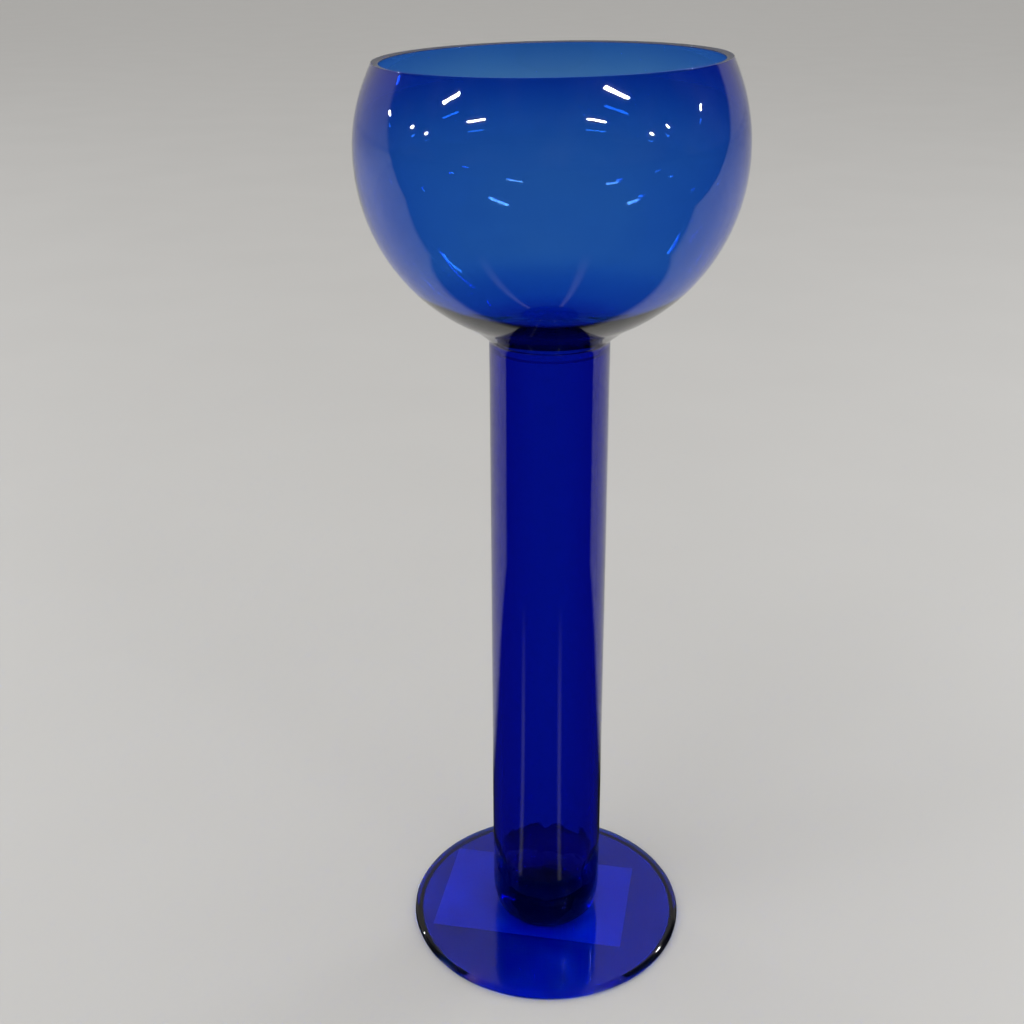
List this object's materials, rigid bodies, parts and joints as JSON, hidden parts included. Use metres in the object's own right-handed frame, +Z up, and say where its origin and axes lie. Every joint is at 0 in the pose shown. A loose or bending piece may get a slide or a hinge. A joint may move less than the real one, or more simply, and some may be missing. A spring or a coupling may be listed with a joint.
{
  "type": "footed glass vase",
  "caption": "Tall footed vase of blown blue glass: open round bowl with a flat rim, on a long sealed hollow stem fused to a flat disc foot, with a blank paper label beneath.",
  "frame": {"origin": "centre of the foot, on the plane that the vase stands on", "axes": "+Z up along the vase's axis; -Y faces the viewer"},
  "size_m": [0.1474, 0.1474, 0.3879],
  "materials": {
    "bowl_glass": "clear blown glass, cobalt blue, fire polished",
    "stem_glass": "clear blown glass, deep cobalt blue, glossy",
    "wafer_glass": "clear glass, cobalt blue, tooled and fire polished",
    "foot_glass": "clear glass, cobalt blue, glossy",
    "label_paper": "matt uncoated paper"
  },
  "bodies": {
    "root": {"bowl": "bowl_glass", "stem": "stem_glass", "joint_wafer": "wafer_glass", "foot": "foot_glass", "foot_label": "label_paper"}
  },
  "joints": []
}
